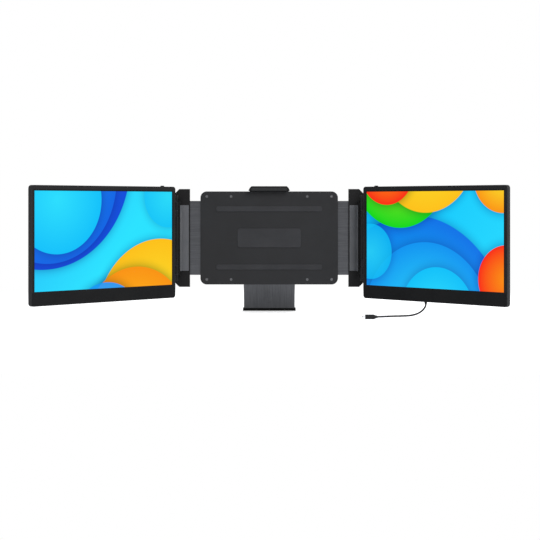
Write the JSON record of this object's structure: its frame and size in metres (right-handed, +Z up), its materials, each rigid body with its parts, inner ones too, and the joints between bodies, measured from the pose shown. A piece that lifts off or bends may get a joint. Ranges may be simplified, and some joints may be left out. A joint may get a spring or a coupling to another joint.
{
  "type": "laptop screen extender",
  "caption": "Bracket that hangs on a laptop's lid and carries a portable screen on a friction hinge at each side, with sliding jaws and a folding kickstand.",
  "frame": {"origin": "centre of the face that rests on the back of the laptop's lid", "axes": "+X to the user's right, +Y away from the user, +Z up along the lid"},
  "size_m": [0.8246, 0.3551, 0.2434],
  "materials": {
    "bracket_plastic": "fine moulded texture, charcoal",
    "cover_plastic": "fine moulded texture, black",
    "bezel_plastic": "satin black",
    "jaw_plastic": "satin charcoal",
    "button_plastic": "satin black",
    "lit_panel": "lit picture behind a smooth sheet",
    "silicone": "soft matte grey",
    "soft_pad": "soft matte dark grey",
    "foot_rubber": "matte black",
    "cable_rubber": "smooth black jacket",
    "plug_plastic": "moulded black",
    "plug_metal": "nickel plated",
    "hinge_steel": "black coated steel",
    "bright_steel": "ground",
    "screw_steel": "blackened",
    "plate_aluminium": "grey anodised",
    "leg_aluminium": "grey anodised",
    "stand_metal": "charcoal powder coat",
    "acetal": "natural white",
    "backlight_metal": "pressed sheet",
    "board_green": "solder mask",
    "ribbon_film": "amber film",
    "socket_metal": "tinned",
    "speaker_plastic": "black"
  },
  "bodies": {
    "bracket": {"front_cover": "bracket_plastic", "rear_housing": "bracket_plastic", "lid_pads": "soft_pad", "top_hook": "jaw_plastic", "hook_pad": "silicone", "guide_rods": "bright_steel", "housing_screws": "screw_steel", "pinion_axle": "bright_steel", "kickstand_pins": "bright_steel"},
    "pinion": {"sync_pinion": "acetal"},
    "left_arm": {"left_arm_plate": "plate_aluminium", "left_arm_bar": "jaw_plastic", "left_jaw_pad": "silicone", "left_arm_hinge": "hinge_steel", "left_hinge_pins": "bright_steel", "left_rack": "acetal", "left_slide_blocks": "acetal", "left_bar_screws": "screw_steel"},
    "left_screen": {"left_bezel": "bezel_plastic", "left_rear_cover": "cover_plastic", "left_panel": "lit_panel", "left_backlight": "backlight_metal", "left_driver_board": "board_green", "left_ribbon": "ribbon_film", "left_port_sockets": "socket_metal", "left_speakers": "speaker_plastic", "left_screen_hinge": "hinge_steel", "left_cover_screws": "screw_steel", "left_button_switch": "socket_metal"},
    "left_key": {"left_button": "button_plastic"},
    "right_arm": {"right_arm_plate": "plate_aluminium", "right_arm_bar": "jaw_plastic", "right_jaw_pad": "silicone", "right_arm_hinge": "hinge_steel", "right_hinge_pins": "bright_steel", "right_rack": "acetal", "right_slide_blocks": "acetal", "right_bar_screws": "screw_steel"},
    "right_screen": {"right_bezel": "bezel_plastic", "right_rear_cover": "cover_plastic", "right_panel": "lit_panel", "right_backlight": "backlight_metal", "right_driver_board": "board_green", "right_ribbon": "ribbon_film", "right_port_sockets": "socket_metal", "right_speakers": "speaker_plastic", "right_screen_hinge": "hinge_steel", "right_cover_screws": "screw_steel", "right_button_switch": "socket_metal", "cable_boot": "cable_rubber", "usb_cable": "cable_rubber", "usb_plug": "plug_plastic", "usb_plug_shell": "plug_metal"},
    "right_key": {"right_button": "button_plastic"},
    "kickstand": {"kickstand_sleeve": "stand_metal"},
    "stand_leg": {"kickstand_leg": "leg_aluminium", "kickstand_foot": "foot_rubber"}
  },
  "joints": [
    {"name": "left_arm_slide", "type": "slide", "parent": "bracket", "child": "left_arm", "axis": [-1, 0, 0], "range_m": [-0.0075, 0.033]},
    {"name": "right_arm_slide", "type": "slide", "parent": "bracket", "child": "right_arm", "axis": [1, 0, 0], "range_m": [-0.0075, 0.033]},
    {"name": "pinion_spin", "type": "hinge", "parent": "bracket", "child": "pinion", "pos_m": [0, 0.00825, 0], "axis": [0, 1, 0], "range_deg": [-212, 50]},
    {"name": "left_screen_hinge", "type": "hinge", "parent": "left_arm", "child": "left_screen", "pos_m": [-0.1735, -0.012, 0], "axis": [0, 0, 1], "range_deg": [-45, 135]},
    {"name": "right_screen_hinge", "type": "hinge", "parent": "right_arm", "child": "right_screen", "pos_m": [0.1735, -0.0225, 0], "axis": [0, 0, -1], "range_deg": [-45, 135]},
    {"name": "kickstand_hinge", "type": "hinge", "parent": "bracket", "child": "kickstand", "pos_m": [0, 0.0158, 0.03], "axis": [1, 0, 0], "range_deg": [-25, 50]},
    {"name": "leg_slide", "type": "slide", "parent": "kickstand", "child": "stand_leg", "axis": [0, 0.4226, -0.9063], "range_m": [-0.072, 0.004]},
    {"name": "left_button_press", "type": "slide", "parent": "left_screen", "child": "left_key", "axis": [0, 0, -1], "range_m": [0, 0.0008], "stiffness_N_per_m": 400, "springref_m": -0.001},
    {"name": "right_button_press", "type": "slide", "parent": "right_screen", "child": "right_key", "axis": [0, 0, -1], "range_m": [0, 0.0008], "stiffness_N_per_m": 400, "springref_m": -0.001}
  ],
  "couplings": [
    {"joint": "right_arm_slide", "follows": "left_arm_slide", "ratio": 1},
    {"joint": "pinion_spin", "follows": "left_arm_slide", "rad_per_m": -111.11}
  ]
}
